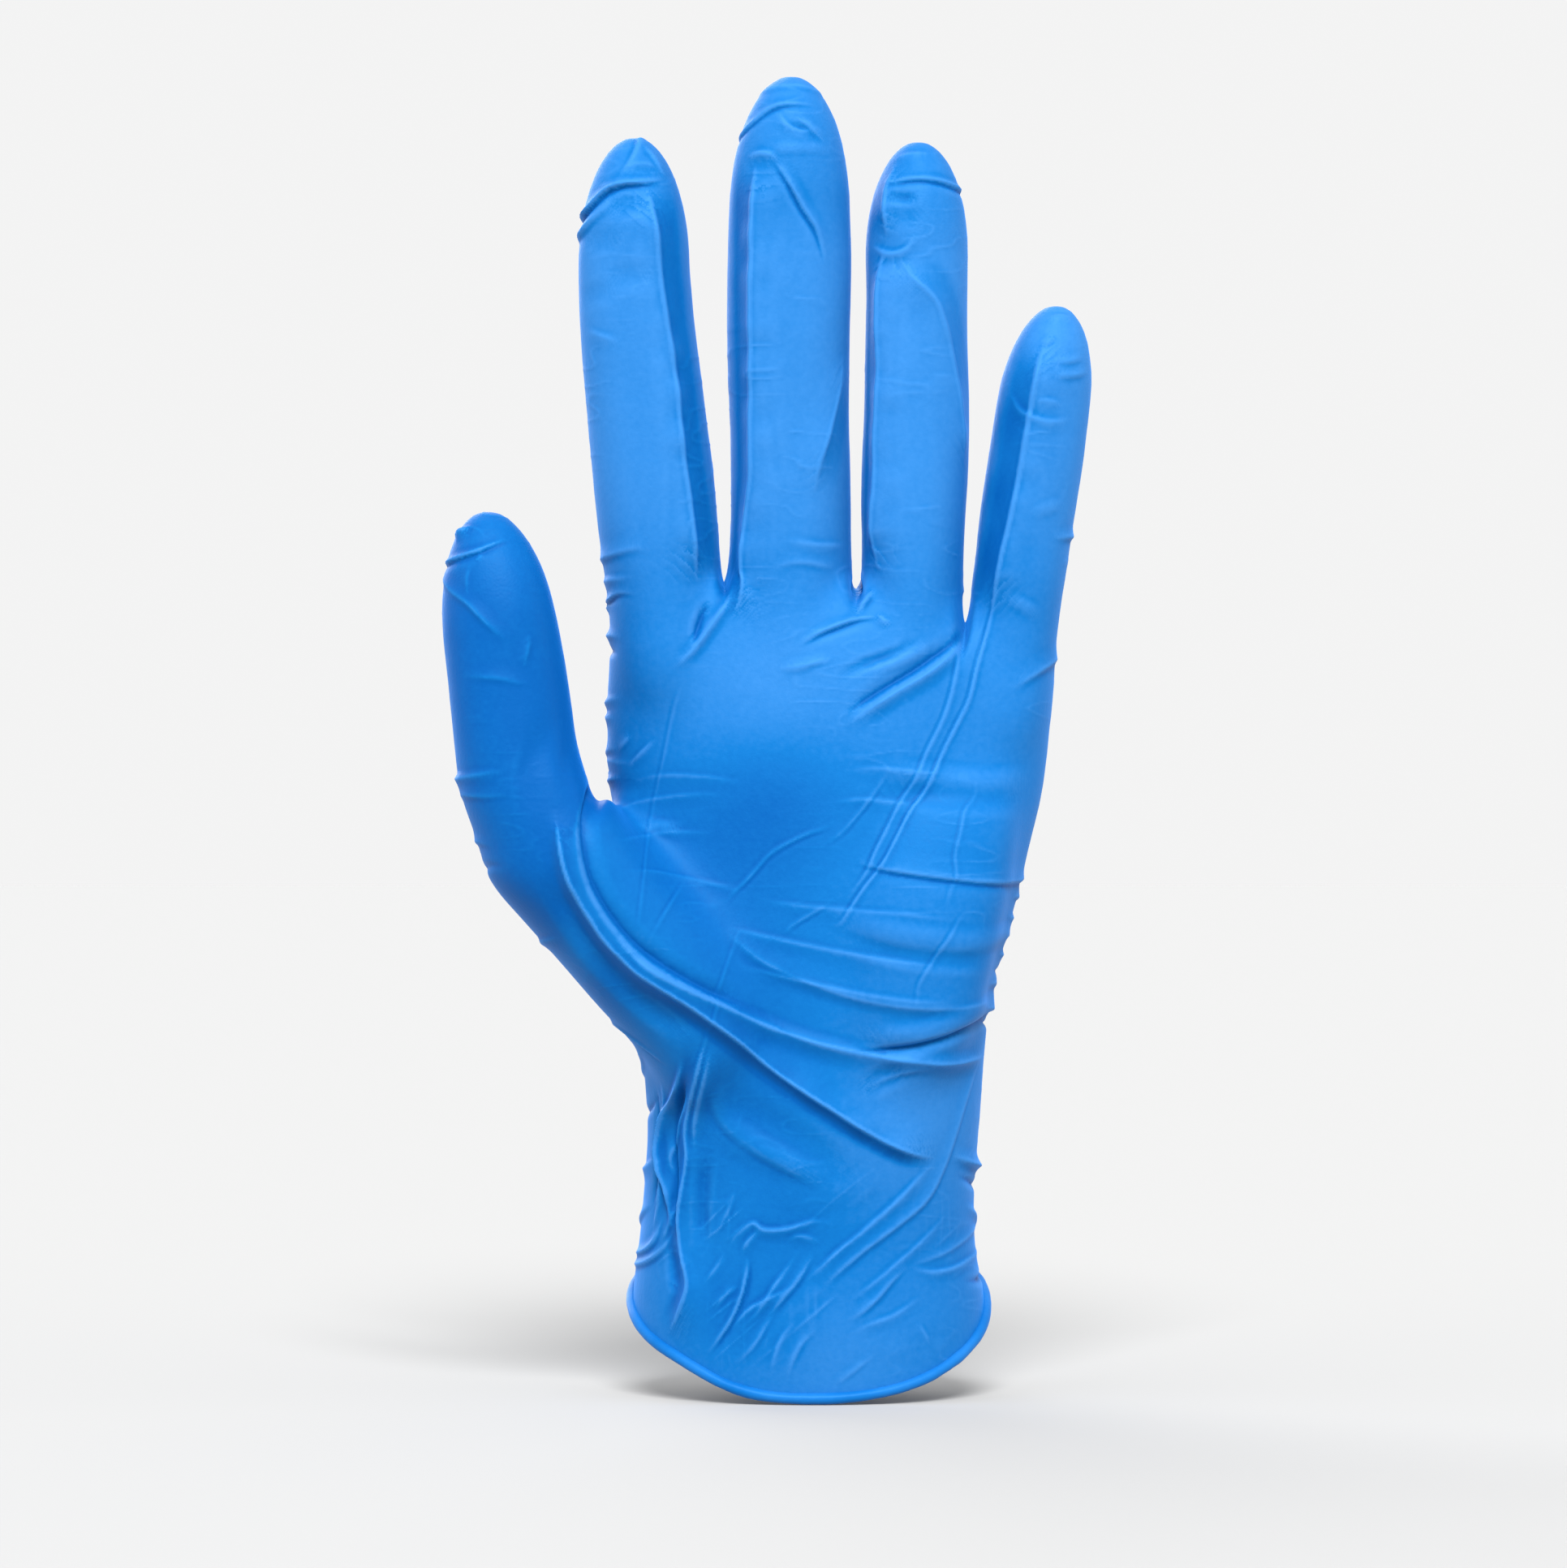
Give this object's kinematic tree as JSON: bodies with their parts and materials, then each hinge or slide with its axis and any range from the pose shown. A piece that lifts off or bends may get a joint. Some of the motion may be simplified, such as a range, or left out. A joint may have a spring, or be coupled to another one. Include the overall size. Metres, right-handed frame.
{
  "type": "disposable nitrile glove",
  "caption": "Thin blue disposable exam glove in the shape it takes on an open left hand, with a rolled bead round the mouth and sleeves that bend at the wrist, the thumb and every finger joint.",
  "frame": {"origin": "centre of the mouth of the cuff, where the wearer's wrist goes in", "axes": "+Z from the mouth towards the fingertips, -Y out of the palm, +X from the thumb's side to the little finger's"},
  "size_m": [0.1169, 0.0642, 0.2402],
  "materials": {
    "nitrile_film": "satin, slightly grainy dipped nitrile",
    "nitrile_bead": "satin rolled nitrile"
  },
  "bodies": {
    "cuff": {"cuff_sleeve": "nitrile_film", "rolled_bead": "nitrile_bead"},
    "palm": {"wrist_flex_film": "nitrile_film", "palm_sleeve": "nitrile_film"},
    "index_proximal": {"index_root_flex_film": "nitrile_film", "index_proximal_sleeve": "nitrile_film"},
    "index_middle": {"index_middle_joint_flex_film": "nitrile_film", "index_middle_sleeve": "nitrile_film"},
    "index_tip": {"index_end_joint_flex_film": "nitrile_film", "index_tip_sleeve": "nitrile_film"},
    "middle_proximal": {"middle_root_flex_film": "nitrile_film", "middle_proximal_sleeve": "nitrile_film"},
    "middle_middle": {"middle_middle_joint_flex_film": "nitrile_film", "middle_middle_sleeve": "nitrile_film"},
    "middle_tip": {"middle_end_joint_flex_film": "nitrile_film", "middle_tip_sleeve": "nitrile_film"},
    "ring_proximal": {"ring_root_flex_film": "nitrile_film", "ring_proximal_sleeve": "nitrile_film"},
    "ring_middle": {"ring_middle_joint_flex_film": "nitrile_film", "ring_middle_sleeve": "nitrile_film"},
    "ring_tip": {"ring_end_joint_flex_film": "nitrile_film", "ring_tip_sleeve": "nitrile_film"},
    "little_proximal": {"little_root_flex_film": "nitrile_film", "little_proximal_sleeve": "nitrile_film"},
    "little_middle": {"little_middle_joint_flex_film": "nitrile_film", "little_middle_sleeve": "nitrile_film"},
    "little_tip": {"little_end_joint_flex_film": "nitrile_film", "little_tip_sleeve": "nitrile_film"},
    "thumb_proximal": {"thumb_root_flex_film": "nitrile_film", "thumb_proximal_sleeve": "nitrile_film"},
    "thumb_tip": {"thumb_joint_flex_film": "nitrile_film", "thumb_tip_sleeve": "nitrile_film"}
  },
  "joints": [
    {"name": "wrist", "type": "hinge", "parent": "cuff", "child": "palm", "pos_m": [0.0003, -0.008, 0.046], "axis": [1, 0, 0], "range_deg": [-45, 45], "stiffness_Nm_per_rad": 0.02, "deforming": ["wrist_flex_film"]},
    {"name": "index_root", "type": "hinge", "parent": "palm", "child": "index_proximal", "pos_m": [-0.0276, -0.0151, 0.1405], "axis": [0.9964, 0, 0.0847], "range_deg": [-10, 60], "stiffness_Nm_per_rad": 0.004, "deforming": ["index_root_flex_film"]},
    {"name": "index_middle_joint", "type": "hinge", "parent": "index_proximal", "child": "index_middle", "pos_m": [-0.0302, -0.0165, 0.1635], "axis": [0.9972, 0, 0.0748], "range_deg": [0, 80], "stiffness_Nm_per_rad": 0.002, "deforming": ["index_middle_joint_flex_film"]},
    {"name": "index_end_joint", "type": "hinge", "parent": "index_middle", "child": "index_tip", "pos_m": [-0.0318, -0.0172, 0.186], "axis": [0.9998, 0, 0.02], "range_deg": [0, 52], "deforming": ["index_end_joint_flex_film"]},
    {"name": "middle_root", "type": "hinge", "parent": "palm", "child": "middle_proximal", "pos_m": [-0.0036, -0.0148, 0.1415], "axis": [1, 0, 0], "range_deg": [-10, 60], "stiffness_Nm_per_rad": 0.004, "deforming": ["middle_root_flex_film"]},
    {"name": "middle_middle_joint", "type": "hinge", "parent": "middle_proximal", "child": "middle_middle", "pos_m": [-0.004, -0.0163, 0.1675], "axis": [1, 0, 0], "range_deg": [0, 80], "stiffness_Nm_per_rad": 0.002, "deforming": ["middle_middle_joint_flex_film"]},
    {"name": "middle_end_joint", "type": "hinge", "parent": "middle_middle", "child": "middle_tip", "pos_m": [-0.004, -0.0173, 0.194], "axis": [1, 0, 0], "range_deg": [0, 52], "deforming": ["middle_end_joint_flex_film"]},
    {"name": "ring_root", "type": "hinge", "parent": "palm", "child": "ring_proximal", "pos_m": [0.0185, -0.015, 0.139], "axis": [0.9999, 0, -0.01], "range_deg": [-10, 60], "stiffness_Nm_per_rad": 0.004, "deforming": ["ring_root_flex_film"]},
    {"name": "ring_middle_joint", "type": "hinge", "parent": "ring_proximal", "child": "ring_middle", "pos_m": [0.0186, -0.0162, 0.162], "axis": [0.9999, 0, -0.01], "range_deg": [0, 80], "stiffness_Nm_per_rad": 0.002, "deforming": ["ring_middle_joint_flex_film"]},
    {"name": "ring_end_joint", "type": "hinge", "parent": "ring_middle", "child": "ring_tip", "pos_m": [0.0189, -0.0169, 0.186], "axis": [0.9999, 0, -0.01], "range_deg": [0, 52], "deforming": ["ring_end_joint_flex_film"]},
    {"name": "little_root", "type": "hinge", "parent": "palm", "child": "little_proximal", "pos_m": [0.0372, -0.0149, 0.1295], "axis": [0.9903, 0, -0.1386], "range_deg": [-10, 60], "stiffness_Nm_per_rad": 0.004, "deforming": ["little_root_flex_film"]},
    {"name": "little_middle_joint", "type": "hinge", "parent": "little_proximal", "child": "little_middle", "pos_m": [0.0399, -0.0157, 0.147], "axis": [0.9889, 0, -0.1483], "range_deg": [0, 80], "stiffness_Nm_per_rad": 0.002, "deforming": ["little_middle_joint_flex_film"]},
    {"name": "little_end_joint", "type": "hinge", "parent": "little_middle", "child": "little_tip", "pos_m": [0.0421, -0.0163, 0.1635], "axis": [0.9929, 0, -0.1191], "range_deg": [0, 52], "deforming": ["little_end_joint_flex_film"]},
    {"name": "thumb_root", "type": "hinge", "parent": "palm", "child": "thumb_proximal", "pos_m": [-0.0536, -0.0274, 0.101], "axis": [-0.7021, -0.7021, -0.1193], "range_deg": [-40, 8], "stiffness_Nm_per_rad": 0.003, "deforming": ["thumb_root_flex_film"]},
    {"name": "thumb_joint", "type": "hinge", "parent": "thumb_proximal", "child": "thumb_tip", "pos_m": [-0.0556, -0.0286, 0.119], "axis": [-0.7021, -0.7021, -0.1193], "range_deg": [-45, 5], "stiffness_Nm_per_rad": 0.0015, "deforming": ["thumb_joint_flex_film"]}
  ],
  "couplings": [
    {"joint": "index_end_joint", "follows": "index_middle_joint", "ratio": 0.65},
    {"joint": "middle_end_joint", "follows": "middle_middle_joint", "ratio": 0.65},
    {"joint": "ring_end_joint", "follows": "ring_middle_joint", "ratio": 0.65},
    {"joint": "little_end_joint", "follows": "little_middle_joint", "ratio": 0.65}
  ]
}
